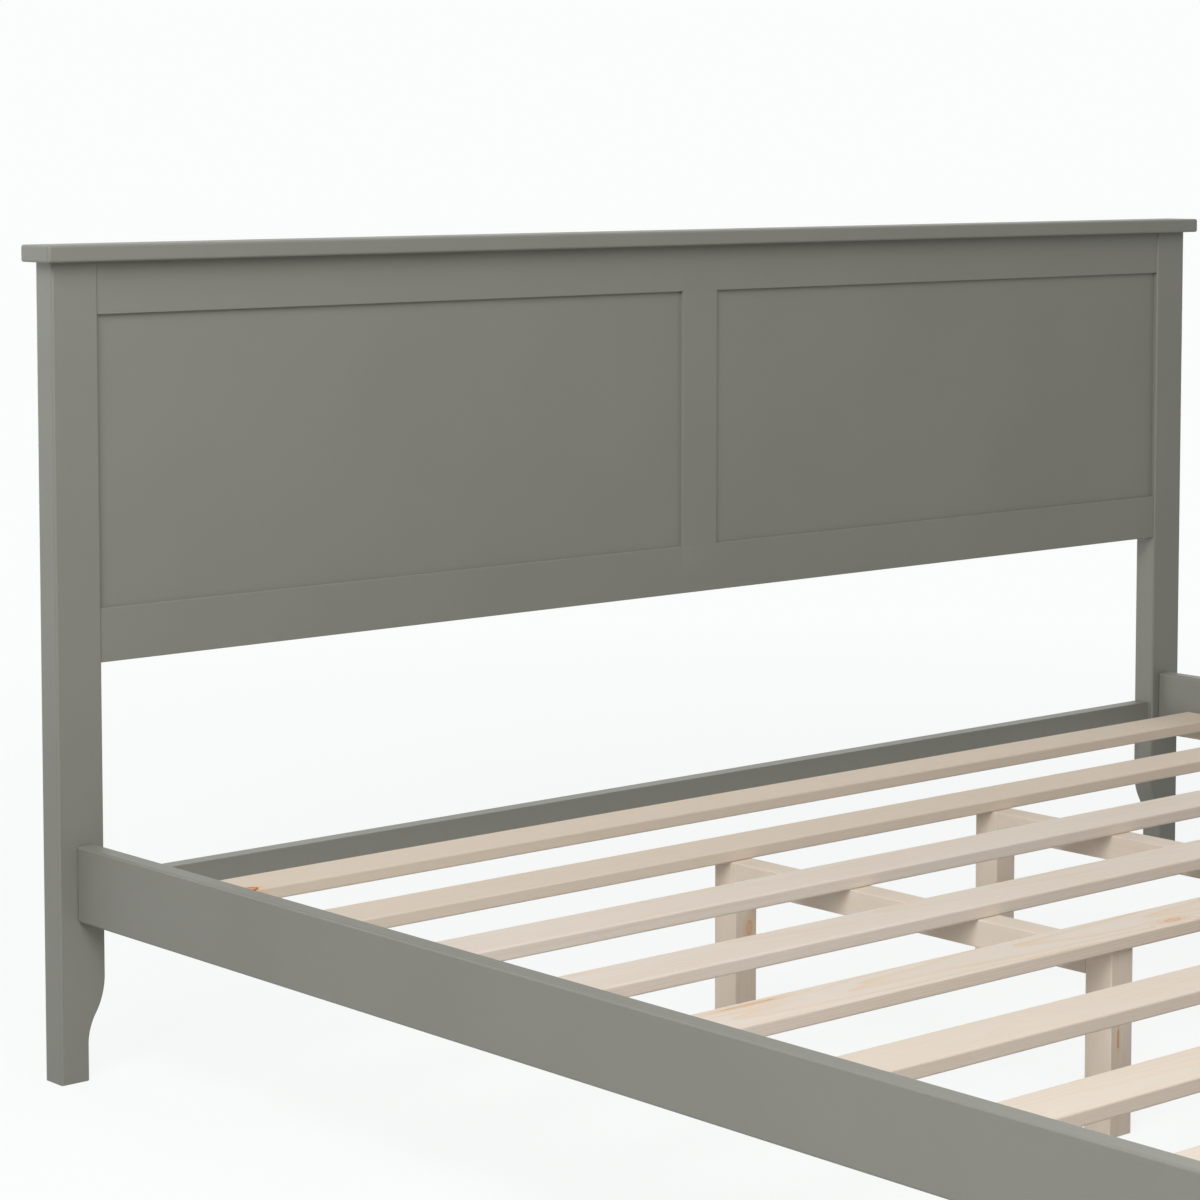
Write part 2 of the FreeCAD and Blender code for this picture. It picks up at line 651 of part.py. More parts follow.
def stand_beam():
    """The beam of the left head stand, between the tops of its legs."""
    outer, inner = stand_leg_ranges()
    x_range = span(-STAND_OFFSET, LEG_WIDTH)
    z_range = (SLAT_BOTTOM - BEAM_HEIGHT, SLAT_BOTTOM)
    solid = eased_stick(x_range, (inner[1], outer[0]), z_range, Vector(0, 1, 0), BEAM_ARRIS)
    return carve(solid, stand_dowels(JOINT_CLEARANCE) + stand_screws(JOINT_CLEARANCE))


def stand_dowels(clearance=0.0):
    """Two level dowels at each end of the left head stand's beam."""
    outer, inner = stand_leg_ranges()
    height = SLAT_BOTTOM - BEAM_HEIGHT / 2
    into_outer = outer[0] + STAND_DOWEL_IN_LEG
    into_inner = inner[1] - STAND_DOWEL_IN_LEG + STAND_DOWEL_LENGTH
    return [
        dowel(Vector(x, tip, height), Vector(0, -1, 0), STAND_DOWEL_LENGTH, clearance)
        for tip in (into_outer, into_inner)
        for x in span(-STAND_OFFSET, STAND_DOWEL_SPACING)
    ]


def stand_screws(clearance=0.0):
    """Screws up through the left head stand's beam into the slats that cross it between its legs."""
    outer, inner = stand_leg_ranges()
    crossing = [
        slat_centre_y(number)
        for number in range(1, SLAT_COUNT + 1)
        if inner[1] + SLAT_WIDTH / 2 < slat_centre_y(number) < outer[0] - SLAT_WIDTH / 2
    ]
    foot = SLAT_BOTTOM - BEAM_HEIGHT
    up = Vector(0, 0, 1)
    return [
        wood_screw(Vector(-STAND_OFFSET, y, foot), up, STAND_SCREW_LENGTH, clearance)
        for y in crossing
    ]


# ---------------------------------------------------------------- the pieces, one node each

def save_pair(name, left_piece):
    """A left piece and its mirror image on the right."""
    save(name + "_left", left_piece)
    save(name + "_right", mirrored_x(left_piece))


def save_stands():
    """The four stands: left and right of the middle line, in the head and the foot half."""
    outer, inner = stand_leg_ranges()
    pieces = {
        "support_beam_{}_{}": stand_beam(),
        "support_leg_{}_{}_outer": stand_leg(outer),
        "support_leg_{}_{}_inner": stand_leg(inner),
    }
    for pattern, piece in pieces.items():
        save(pattern.format("head", "left"), piece)
        save(pattern.format("head", "right"), mirrored_x(piece))
        save(pattern.format("foot", "left"), mirrored_y(piece))
        save(pattern.format("foot", "right"), mirrored_x(mirrored_y(piece)))


save_pair("head_post", head_post())
save_pair("foot_post", foot_post())
save_pair("head_panel", head_panel())
save_pair("side_rail", side_rail())
save_pair("slat_cleat", slat_cleat())
save("head_cap", head_cap())
save("head_top_rail", head_top_rail())
save("head_bottom_rail", head_bottom_rail())
save("head_mullion", head_mullion())
save("head_cross_rail", head_cross_rail())
save("foot_rail", foot_rail())
save_stands()

STAND_SCREW_HOLES = four_corners(stand_screws(JOINT_CLEARANCE))
for slat_number in range(1, SLAT_COUNT + 1):
    save("slat_{:02d}".format(slat_number), slat(slat_number, STAND_SCREW_HOLES))

ALL_SLAT_SCREWS = [solid for number in range(1, SLAT_COUNT + 1) for solid in slat_screws(number)]
LEFT_CLEAT_SCREWS = cleat_screws()
save("slat_screws", ALL_SLAT_SCREWS)
save("cleat_screws", LEFT_CLEAT_SCREWS + [mirrored_x(solid) for solid in LEFT_CLEAT_SCREWS])
save("stand_screws", four_corners(stand_screws()))
save("stand_dowels", four_corners(stand_dowels()))
save("cap_dowels", cap_dowels())
save("rail_hook_plates", four_corners([hook_plate()]))
save("post_keeper_plates", four_corners([keeper_plate()]))
save("plate_screws", four_corners(rail_plate_screws() + post_plate_screws()))
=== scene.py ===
# %% [markdown]
# # A painted panel bed
# The bed has a frame-and-panel headboard, two side rails that hook into the posts, a low foot
# end, and ten pine slats on cleats and four support stands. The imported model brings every
# piece at its real size. This lesson gives them their looks: edges rounded as a spindle
# moulder leaves them, a satin lacquer, pine boards that are each cut from their own log, and
# soft light, most of it from the front left.

# %% Load the frame
import math
import random

import bmesh
import bpy
from mathutils import Matrix, Vector


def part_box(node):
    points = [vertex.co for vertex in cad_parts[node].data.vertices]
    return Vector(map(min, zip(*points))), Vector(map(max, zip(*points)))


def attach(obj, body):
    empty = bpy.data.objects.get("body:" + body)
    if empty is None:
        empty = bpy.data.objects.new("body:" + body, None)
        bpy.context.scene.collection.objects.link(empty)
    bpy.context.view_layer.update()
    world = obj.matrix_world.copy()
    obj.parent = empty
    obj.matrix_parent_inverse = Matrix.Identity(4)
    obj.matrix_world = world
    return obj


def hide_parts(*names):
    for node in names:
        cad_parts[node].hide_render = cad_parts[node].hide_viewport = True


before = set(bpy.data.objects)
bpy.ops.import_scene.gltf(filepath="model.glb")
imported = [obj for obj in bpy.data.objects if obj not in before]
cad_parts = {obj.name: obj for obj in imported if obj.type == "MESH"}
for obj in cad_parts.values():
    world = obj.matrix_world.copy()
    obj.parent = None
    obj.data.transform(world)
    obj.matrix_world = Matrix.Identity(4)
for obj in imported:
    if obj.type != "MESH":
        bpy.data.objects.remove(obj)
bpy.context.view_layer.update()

# %% [markdown]
# ## The camera
# The photograph's upright lines stay upright and its horizon lies above the headboard, so the
# lens looks almost level and the film is lowered behind it. The place, the turn and the focal
# length were solved from the vanishing points of the rails and the slats. A turn is measured
# from the bed's length towards its right side.

# %% Camera
CAMERA_PLACE = (-3.097, -2.313, 1.103)
CAMERA_TURN = math.radians(41.196)
CAMERA_DIP = math.radians(4.498)
PHOTO_WIDTH = 1200.0
FOCAL_LENGTH_IN_PIXELS = 3367.0
FILM_LOWERED_BY = 0.16
FILM_WIDTH = 36.0

camera_data = bpy.data.cameras.new("camera")
camera_data.sensor_width = FILM_WIDTH
camera_data.lens = FOCAL_LENGTH_IN_PIXELS / PHOTO_WIDTH * FILM_WIDTH
camera_data.shift_y = -FILM_LOWERED_BY
camera = bpy.data.objects.new("camera", camera_data)
camera.location = CAMERA_PLACE
camera.rotation_euler = (math.pi / 2 - CAMERA_DIP, 0.0, -CAMERA_TURN)
bpy.context.scene.collection.objects.link(camera)
bpy.context.scene.camera = camera
bpy.context.scene.view_settings.view_transform = "Standard"
print("lens of", round(camera_data.lens, 1), "mm")

# %% [markdown]
# ## Helpers for colours and node trees
# A paint chart gives colours from 0 to 255 as the eye sees them. Shaders add up light, so
# each colour is turned into linear light once, here. The other helpers keep the recipes of
# the finishes short: one adds a node with its settings, one blends two colours. A Mix node
# keeps its colours at fixed places among its sockets, and soft noise seldom leaves the middle
# of its range, so both facts have a name.

# %% Colours
def chart_colour(red, green, blue):
    """A paint-chart colour as linear light."""
    levels = [level / 255 for level in (red, green, blue)]
    linear = [((level + 0.055) / 1.055) ** 2.4 for level in levels]
    return (*linear, 1.0)


def grey(level):
    return (level, level, level, 1.0)


print("colour of a mid grey:", chart_colour(128, 128, 128)[:3])

# %% Nodes
def add_node(tree, kind, **settings):
    """A node with some of its properties set."""
    node = tree.nodes.new(kind)
    for name, value in settings.items():
        setattr(node, name, value)
    return node


def feed(tree, inputs, **sources):
    """Set a node's inputs by name: a socket is linked, anything else is a fixed value."""
    for name, source in sources.items():
        target = inputs[name.replace("_", " ")]
        if isinstance(source, bpy.types.NodeSocket):
            tree.links.new(source, target)
        else:
            target.default_value = source


def new_finish(name):
    """A material with its node tree and its Principled shader."""
    material = bpy.data.materials.new(name)
    material.use_nodes = True
    tree = material.node_tree
    return material, tree, tree.nodes["Principled BSDF"]


print("node helpers are ready")

# %% Patterns and blends
MIX_COLOUR_INPUTS = (6, 7)
MIX_COLOUR_OUTPUT = 2
NOISE_MIDDLE = (0.3, 0.7)


def noise(tree, place, scale, detail=2.0, roughness=0.5):
    """Soft noise between 0 and 1 at a place."""
    node = add_node(tree, "ShaderNodeTexNoise")
    feed(tree, node.inputs, Vector=place, Scale=scale, Detail=detail, Roughness=roughness)
    return node.outputs["Fac"]


def remap(tree, value, low, high, to_low=0.0, to_high=1.0):
    """Stretch a value from one range to another, and stop at the ends."""
    node = add_node(tree, "ShaderNodeMapRange")
    feed(tree, node.inputs, Value=value, From_Min=low, From_Max=high, To_Min=to_low, To_Max=to_high)
    return node.outputs["Result"]


def blend_colours(tree, share, first, second):
    """The first colour where share is 0 and the second where it is 1."""
    node = add_node(tree, "ShaderNodeMix", data_type="RGBA")
    colour_a, colour_b = (node.inputs[place] for place in MIX_COLOUR_INPUTS)
    for source, target in ((share, node.inputs[0]), (first, colour_a), (second, colour_b)):
        if isinstance(source, bpy.types.NodeSocket):
            tree.links.new(source, target)
        else:
            target.default_value = source
    return node.outputs[MIX_COLOUR_OUTPUT]


def calculate(tree, operation, first, second=0.0):
    """One sum on two values."""
    node = add_node(tree, "ShaderNodeMath", operation=operation)
    for source, target in ((first, node.inputs[0]), (second, node.inputs[1])):
        if isinstance(source, bpy.types.NodeSocket):
            tree.links.new(source, target)
        else:
            target.default_value = source
    return node.outputs["Value"]


def scaled(tree, place, factors):
    """The same place in a stretched space."""
    node = add_node(tree, "ShaderNodeMapping")
    feed(tree, node.inputs, Vector=place, Scale=factors)
    return node.outputs["Vector"]


def stored(tree, name, output="Vector"):
    """A value that a mesh stores on its corners."""
    return add_node(tree, "ShaderNodeAttribute", attribute_name=name).outputs[output]


def length_of(tree, vector):
    node = add_node(tree, "ShaderNodeVectorMath", operation="LENGTH")
    tree.links.new(vector, node.inputs[0])
    return node.outputs["Value"]


def add_bump(tree, shader, height, depth):
    """Relief of a given depth in metres."""
    node = add_node(tree, "ShaderNodeBump")
    feed(tree, node.inputs, Height=height, Distance=depth, Strength=1.0)
    tree.links.new(node.outputs["Normal"], shader.inputs["Normal"])


print("soft noise mostly lies between", *NOISE_MIDDLE)

# %% [markdown]
# ## The satin lacquer
# The headboard, posts and rails are sprayed with a grey-green lacquer. It could be one flat
# colour, but a sprayed coat is never quite even: it is a little thicker and darker in slow
# drifts, its sheen changes with it, and its surface has a fine orange peel of a few
# hundredths of a millimetre. All of it is noise on the bed's own coordinates, at two sizes.

# %% Satin lacquer
LACQUER = chart_colour(129, 129, 121)
LACQUER_THICK = chart_colour(127, 127, 119)
DRIFTS_PER_METRE = 5.0
PEEL_PER_METRE = 650.0
PEEL_DEPTH = 0.00003
LACQUER_ROUGHNESS = (0.42, 0.5)


def make_satin_lacquer():
    material, tree, shader = new_finish("satin_lacquer")
    place = add_node(tree, "ShaderNodeTexCoord").outputs["Object"]
    drift = noise(tree, place, DRIFTS_PER_METRE, detail=3.0)
    peel = noise(tree, place, PEEL_PER_METRE, detail=1.0)
    colour = blend_colours(tree, remap(tree, drift, *NOISE_MIDDLE), LACQUER, LACQUER_THICK)
    feed(
        tree, shader.inputs, Base_Color=colour,
        Roughness=remap(tree, drift, *NOISE_MIDDLE, *LACQUER_ROUGHNESS), Specular_IOR_Level=0.4,
    )
    add_bump(tree, shader, peel, PEEL_DEPTH)
    return material


lacquer = make_satin_lacquer()
print("made", lacquer.name)

# %% [markdown]
# ## Pine, cut from a log
# A painted-on wood grain looks wrong where two faces meet. Here each board carries its place
# in the log it was sawn from, so one solid pattern runs over its faces and ends: year rings
# round the heart and drawn out fibres along the stem. The rings are a saw-tooth wave that
# ends in a thin line of darker summer wood, and each board says how strongly they show. A
# knot is a branch that was sawn through. The board carries the way to its heart, counted in
# the knot's own half length and half width, so the knot's rim is where that count is 1. The
# rings swell round it, and resin warms the wood beside it.

# %% Knots and year rings
KNOT_LAYERS = ("from_first_knot", "from_second_knot")
RAGS_PER_METRE = 180.0
RAG_NOISE = (0.2, 0.8)
RAG_DEPTH = 0.2
RING_SWELL = 0.02
SWELL_FALL = -0.3
RING_SCALE = 88.0
RING_WANDER = 5.0
SUMMER_START = 0.55


def knot_reach(tree, place):
    """Distance to the nearest knot's heart, 1 at its rim, with a slightly ragged edge."""
    reaches = [length_of(tree, stored(tree, layer)) for layer in KNOT_LAYERS]
    nearest = calculate(tree, "MINIMUM", *reaches)
    rags = noise(tree, place, RAGS_PER_METRE)
    ragged = remap(tree, rags, *RAG_NOISE, -RAG_DEPTH, RAG_DEPTH)
    return calculate(tree, "ADD", nearest, ragged)


def swollen(tree, stem, reach):
    """The place in the stem, pushed away from the heart beside a knot."""
    fall = calculate(tree, "MULTIPLY", calculate(tree, "MULTIPLY", reach, reach), SWELL_FALL)
    push = calculate(tree, "MULTIPLY", calculate(tree, "EXPONENT", fall), RING_SWELL)
    offset = add_node(tree, "ShaderNodeCombineXYZ")
    feed(tree, offset.inputs, Y=push)
    pushed = add_node(tree, "ShaderNodeVectorMath", operation="ADD")
    tree.links.new(stem, pushed.inputs[0])
    tree.links.new(offset.outputs["Vector"], pushed.inputs[1])
    return pushed.outputs["Vector"]


def summer_rings(tree, place):
    """Thin lines where each year's growth ended."""
    rings = add_node(
        tree, "ShaderNodeTexWave",
        wave_type="RINGS", rings_direction="Z", wave_profile="SAW",
    )
    feed(
        tree, rings.inputs, Vector=place, Scale=RING_SCALE, Distortion=RING_WANDER,
        Detail=2.0, Detail_Scale=0.35, Detail_Roughness=0.5,
    )
    return remap(tree, rings.outputs["Fac"], SUMMER_START, 1.0)


print("a board can store", len(KNOT_LAYERS), "knots")

# %% Planed pine
PINE_PALE = chart_colour(225, 215, 204)
PINE_WARM = chart_colour(215, 200, 182)
SUMMER_WOOD = chart_colour(220, 180, 124)
FIBRE_WOOD = chart_colour(198, 178, 152)
KNOT_WOOD = chart_colour(206, 142, 98)
KNOT_RIM = chart_colour(148, 76, 46)
FAINTEST_RINGS = 0.4
CLOUDS_PER_METRE = 22.0
CLOUD_SHARE = 0.35
CLOUDS_THAT_WARM = (0.3, 0.75)
STEM_STRETCH = 0.1
FIBRES_PER_METRE = 900.0
FIBRE_STRETCH = 0.03
FIBRE_DEPTH = 0.00004
FIBRE_SHARE = 0.16
FIBRES_THAT_SHOW = (0.35, 0.75)
PINE_ROUGHNESS = (0.55, 0.68)
HALO_SHARE = 0.5
HALO_REACH = 2.6
HEART_EDGE = (0.8, 1.0)
RIM_REACH = 0.9
RIM_FADE = (0.05, 0.2)


def make_planed_pine():
    material, tree, shader = new_finish("planed_pine")
    in_log = stored(tree, "place_in_log")
    stem = scaled(tree, in_log, (1.0, 1.0, STEM_STRETCH))
    reach = knot_reach(tree, in_log)
    rings = summer_rings(tree, swollen(tree, stem, reach))
    cloud = noise(tree, stem, CLOUDS_PER_METRE)
    drawn_out = scaled(tree, in_log, (1.0, 1.0, FIBRE_STRETCH))
    fibres = noise(tree, drawn_out, FIBRES_PER_METRE, roughness=0.6)
    ring_share = calculate(tree, "MULTIPLY", rings, stored(tree, "figure", "Fac"))
    clearing = remap(tree, cloud, *NOISE_MIDDLE, FAINTEST_RINGS, 1.0)
    ring_share = calculate(tree, "MULTIPLY", ring_share, clearing)
    board = blend_colours(tree, stored(tree, "tone", "Fac"), PINE_PALE, PINE_WARM)
    warm_share = remap(tree, cloud, *CLOUDS_THAT_WARM, 0.0, CLOUD_SHARE)
    board = blend_colours(tree, warm_share, board, PINE_WARM)
    fibre_share = remap(tree, fibres, *FIBRES_THAT_SHOW, 0.0, FIBRE_SHARE)
    board = blend_colours(tree, fibre_share, board, FIBRE_WOOD)
    board = blend_colours(tree, ring_share, board, SUMMER_WOOD)
    halo_share = remap(tree, reach, 1.0, HALO_REACH, HALO_SHARE, 0.0)
    board = blend_colours(tree, halo_share, board, SUMMER_WOOD)
    depth = stored(tree, "knot_depth", "Fac")
    heart_share = calculate(tree, "MULTIPLY", remap(tree, reach, *HEART_EDGE, 1.0, 0.0), depth)
    board = blend_colours(tree, heart_share, board, KNOT_WOOD)
    off_rim = calculate(tree, "ABSOLUTE", calculate(tree, "SUBTRACT", reach, RIM_REACH))
    rim_share = calculate(tree, "MULTIPLY", remap(tree, off_rim, *RIM_FADE, 1.0, 0.0), depth)
    board = blend_colours(tree, rim_share, board, KNOT_RIM)
    feed(
        tree, shader.inputs, Base_Color=board,
        Roughness=remap(tree, fibres, *NOISE_MIDDLE, *PINE_ROUGHNESS), Specular_IOR_Level=0.3,
    )
    add_bump(tree, shader, fibres, FIBRE_DEPTH)
    return material


pine = make_planed_pine()
print("made", pine.name)

# %% [markdown]
# ## Beech and zinc
# The dowels are beech: pinker and denser than pine, with short dark flecks along the grain.
# The hook plates and screws are zinc plated, which gives steel a cool mottled skin. Both are
# mostly hidden in the joints, so two short recipes are enough.

# %% Beech dowels and zinc-plated steel
BEECH = chart_colour(205, 168, 132)
BEECH_FLECK = chart_colour(168, 124, 90)
ZINC = chart_colour(190, 194, 200)
ZINC_DULL = chart_colour(160, 165, 172)
FLECKS_PER_METRE = 900.0
FLECK_STRETCH = (1.0, 0.2, 0.2)
FLECKS_THAT_SHOW = (0.5, 0.7)
FLECK_DEPTH = 0.00005
MOTTLE_PER_METRE = 350.0
ZINC_ROUGHNESS = (0.3, 0.45)


def make_beech():
    material, tree, shader = new_finish("turned_beech")
    place = add_node(tree, "ShaderNodeTexCoord").outputs["Object"]
    flecks = noise(tree, scaled(tree, place, FLECK_STRETCH), FLECKS_PER_METRE)
    colour = blend_colours(tree, remap(tree, flecks, *FLECKS_THAT_SHOW), BEECH, BEECH_FLECK)
    feed(tree, shader.inputs, Base_Color=colour, Roughness=0.6)
    add_bump(tree, shader, flecks, FLECK_DEPTH)
    return material


def make_zinc():
    material, tree, shader = new_finish("zinc_plate")
    place = add_node(tree, "ShaderNodeTexCoord").outputs["Object"]
    mottle = noise(tree, place, MOTTLE_PER_METRE, detail=3.0)
    feed(
        tree, shader.inputs, Base_Color=blend_colours(tree, mottle, ZINC, ZINC_DULL),
        Metallic=1.0, Roughness=remap(tree, mottle, *NOISE_MIDDLE, *ZINC_ROUGHNESS),
    )
    return material


beech = make_beech()
zinc = make_zinc()
print("made", beech.name, "and", zinc.name)

# %% [markdown]
# ## Finishing a piece
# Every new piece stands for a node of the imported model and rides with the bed. Its faces are
# shaded smooth but for its sharp inner corners, and a weighted-normal modifier lets the big
# planed faces rule the normals, so that they stay flat and only the rounded edges turn the
# light. Two drafts can be joined into one solid, or one cut out of the other.

# %% Hand a mesh over as a finished piece
SHARP_ANGLE = math.radians(50.0)
LARGE_FACES_RULE = 100


def finish_piece(mesh_draft, name, material, nodes):
    """Turn a draft into an object that stands for some nodes of the model."""
    bmesh.ops.recalc_face_normals(mesh_draft, faces=mesh_draft.faces)
    mesh = bpy.data.meshes.new(name)
    mesh_draft.to_mesh(mesh)
    mesh_draft.free()
    mesh.shade_smooth()
    mesh.set_sharp_from_angle(angle=SHARP_ANGLE)
    mesh.materials.append(material)
    piece = bpy.data.objects.new(name, mesh)
    bpy.context.scene.collection.objects.link(piece)
    weighted = piece.modifiers.new("flat faces stay flat", "WEIGHTED_NORMAL")
    weighted.weight = LARGE_FACES_RULE
    weighted.keep_sharp = True
    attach(piece, "root")
    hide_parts(*nodes)
    return piece


print("corners over", round(math.degrees(SHARP_ANGLE)), "degrees stay sharp")

# %% Blocks, edges and joined solids
NEARLY_ALONG = 0.999
SAME_PLACE = 1e-6


def edges_along(draft, axis):
    """The edges that run along X, Y or Z, given as 0, 1 or 2."""
    def runs_along(edge):
        run = edge.verts[1].co - edge.verts[0].co
        return abs(run[axis]) > NEARLY_ALONG * run.length

    return [edge for edge in draft.edges if runs_along(edge)]


def round_edges(draft, edges, radius, segments):
    bmesh.ops.bevel(
        draft, geom=edges, offset=radius, segments=segments,
        profile=0.5, affect="EDGES", material=-1,
    )


def edges_at(draft, axis, places):
    """The edges that lie wholly at one of some places along X, Y or Z."""
    def lies_at(edge, place):
        return all(abs(corner.co[axis] - place) < SAME_PLACE for corner in edge.verts)

    return [edge for edge in draft.edges if any(lies_at(edge, place) for place in places)]


def block(low, high):
    """A plain block between two corners."""
    draft = bmesh.new()
    bmesh.ops.create_cube(draft, size=1.0)
    bmesh.ops.scale(draft, vec=high - low, verts=draft.verts)
    bmesh.ops.translate(draft, vec=(low + high) / 2, verts=draft.verts)
    return draft


def combined(draft, other, operation):
    """Two drafts as one solid, by UNION or DIFFERENCE. Both drafts are used up."""
    solids = []
    for shape in (draft, other):
        mesh = bpy.data.meshes.new("shape")
        shape.to_mesh(mesh)
        shape.free()
        solids.append(bpy.data.objects.new("shape", mesh))
        bpy.context.scene.collection.objects.link(solids[-1])
    sum_of_both = solids[0].modifiers.new("sum", "BOOLEAN")
    sum_of_both.operation = operation
    sum_of_both.solver = "EXACT"
    sum_of_both.object = solids[1]
    result = bmesh.new()
    result.from_object(solids[0], bpy.context.evaluated_depsgraph_get())
    for solid in solids:
        mesh = solid.data
        bpy.data.objects.remove(solid)
        bpy.data.meshes.remove(mesh)
    return result


print("points closer than", SAME_PLACE, "m count as one")

# %% [markdown]
# ## Rails and cap
# The side rails and the foot rail are plain lengths, eased by 3 mm all round, as a router
# leaves them. The cap is rounded in plan at its corners first and then round its rims.

# %% Side rails, foot rail and cap
ACROSS, LENGTHWISE, UPRIGHT = 0, 1, 2
RAIL_ROUNDING = 0.003
CAP_CORNER = 0.004
CAP_ROUNDING = 0.003
ROUNDING_STEPS = 4
FINE_STEPS = 2


def painted_rail(node):
    draft = block(*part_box(node))
    round_edges(draft, draft.edges[:], RAIL_ROUNDING, ROUNDING_STEPS)
    return finish_piece(draft, "painted_" + node, lacquer, [node])


def painted_cap(node):
    draft = block(*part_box(node))
    round_edges(draft, edges_along(draft, UPRIGHT), CAP_CORNER, ROUNDING_STEPS)
    rims = [edge for edge in draft.edges if edge not in edges_along(draft, UPRIGHT)]
    round_edges(draft, rims, CAP_ROUNDING, ROUNDING_STEPS)
    return finish_piece(draft, "painted_" + node, lacquer, [node])


for rail in ("side_rail_left", "side_rail_right", "foot_rail"):
    painted_rail(rail)
painted_cap("head_cap")
print("rails and cap stand")

# %% [markdown]
# ## Posts with an ogee foot
# Each post's inner side is drawn in to a narrower toe by an ogee, a round over a hollow. One
# corner of the outline is spun twice, once about each arc's centre, which gives the curve
# without a list of points. The outline is then closed, pushed back to the post's depth, its
# long edges rounded and its ends eased. A right post is a left one mirrored.

# %% Ogee outline
TOE_WIDTH = 0.0385
OGEE_TOP = 0.124
OGEE_BOTTOM = 0.043
ROUND_SHARE = 0.56
ARC_STEPS = 14


def ogee_outline(draft, outer, inner, front, top):
    """The front outline of a left post, as one face."""
    toe = outer + TOE_WIDTH
    run, drop = inner - toe, OGEE_TOP - OGEE_BOTTOM
    radii = (run ** 2 + drop ** 2) / (2 * run)
    turn = 2 * math.atan2(run, drop)
    round_radius = radii * ROUND_SHARE
    hollow_radius = radii - round_radius
    corner = draft.verts.new((inner, front, OGEE_TOP))
    spins = (
        ((inner - round_radius, front, OGEE_TOP), turn),
        ((toe + hollow_radius, front, OGEE_BOTTOM), -turn),
    )
    last = corner
    for centre, angle in spins:
        spun = bmesh.ops.spin(
            draft, geom=[last], cent=centre, axis=(0.0, 1.0, 0.0), angle=angle,
            steps=ARC_STEPS, use_duplicate=False,
        )
        last = next(item for item in spun["geom_last"] if isinstance(item, bmesh.types.BMVert))
    corners = [last]
    for x, z in ((toe, 0.0), (outer, 0.0), (outer, top), (inner, top)):
        corners.append(draft.verts.new((x, front, z)))
    corners.append(corner)
    for near, far in zip(corners, corners[1:]):
        draft.edges.new((near, far))
    bmesh.ops.contextual_create(draft, geom=draft.edges[:])
    return last


print("the ogee is", round(OGEE_TOP - OGEE_BOTTOM, 4), "m high")

# %% Posts
POST_ROUNDING = 0.003
END_ROUNDING = 0.0008


def painted_post(node):
    low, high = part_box(node)
    is_right = low.x > 0
    outer, inner = (-high.x, -low.x) if is_right else (low.x, high.x)
    draft = bmesh.new()
    last = ogee_outline(draft, outer, inner, low.y, high.z)
    print(node, "ogee ends at", tuple(round(value, 4) for value in last.co))
    pushed = bmesh.ops.extrude_face_region(draft, geom=draft.faces[:])
    moved = [item for item in pushed["geom"] if isinstance(item, bmesh.types.BMVert)]
    bmesh.ops.translate(draft, vec=(0.0, high.y - low.y, 0.0), verts=moved)
    ends = (0.0, high.z)
    other = set(edges_along(draft, LENGTHWISE)) | set(edges_at(draft, UPRIGHT, ends))
    long_edges = [edge for edge in draft.edges if edge not in other]
    round_edges(draft, long_edges, POST_ROUNDING, ROUNDING_STEPS)
    round_edges(draft, edges_at(draft, UPRIGHT, ends), END_ROUNDING, FINE_STEPS)
    if is_right:
        bmesh.ops.mirror(draft, geom=draft.verts[:] + draft.edges[:] + draft.faces[:], axis="X")
        left_half = [vertex for vertex in draft.verts if vertex.co.x < 0]
        bmesh.ops.delete(draft, geom=left_half, context="VERTS")
    return finish_piece(draft, "painted_" + node, lacquer, [node])


for post in ("head_post_left", "head_post_right", "foot_post_left", "foot_post_right"):
    painted_post(post)

# %% [markdown]
# ## Headboard frame
# The headboard is a frame and panel: two rails tenoned into the posts and a mullion between
# them, all grooved for the panels. The frame is painted after it is glued, so the lacquer
# closes its joints, and its edges are eased once it is together: the easing runs round each
# opening and not through the joint between rail and mullion. Each piece is an eased length
# with its tenon joined on and its groove cut out. The panels and the low cross rail have no
# edge worth easing and keep their model.

# %% Frame rails
FRAME_ROUNDING = 0.0009
SHOULDER_X = 0.958
GROOVE_DEPTH = 0.010
GROOVE_CLEARANCE = 0.0001
TENON_INSET = 0.010
OVERCUT = 0.001


def eased_rail(low, high, grooved_edge):
    """A length between the posts, left sharp where the mullion stands on its grooved edge."""
    draft = block(Vector((-SHOULDER_X, low.y, low.z)), Vector((SHOULDER_X, high.y, high.z)))
    mullion_sides = [corner.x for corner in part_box("head_mullion")]
    for side in mullion_sides:
        bmesh.ops.bisect_plane(
            draft, geom=draft.verts[:] + draft.edges[:] + draft.faces[:],
            plane_co=(side, 0.0, 0.0), plane_no=(1.0, 0.0, 0.0),
        )
    under_mullion = [
        edge for edge in edges_at(draft, UPRIGHT, [grooved_edge])
        if all(abs(corner.co.x) < mullion_sides[1] + OVERCUT for corner in edge.verts)
    ]
    eased = [edge for edge in edges_along(draft, ACROSS) if edge not in under_mullion]
    round_edges(draft, eased, FRAME_ROUNDING, FINE_STEPS)
    return draft


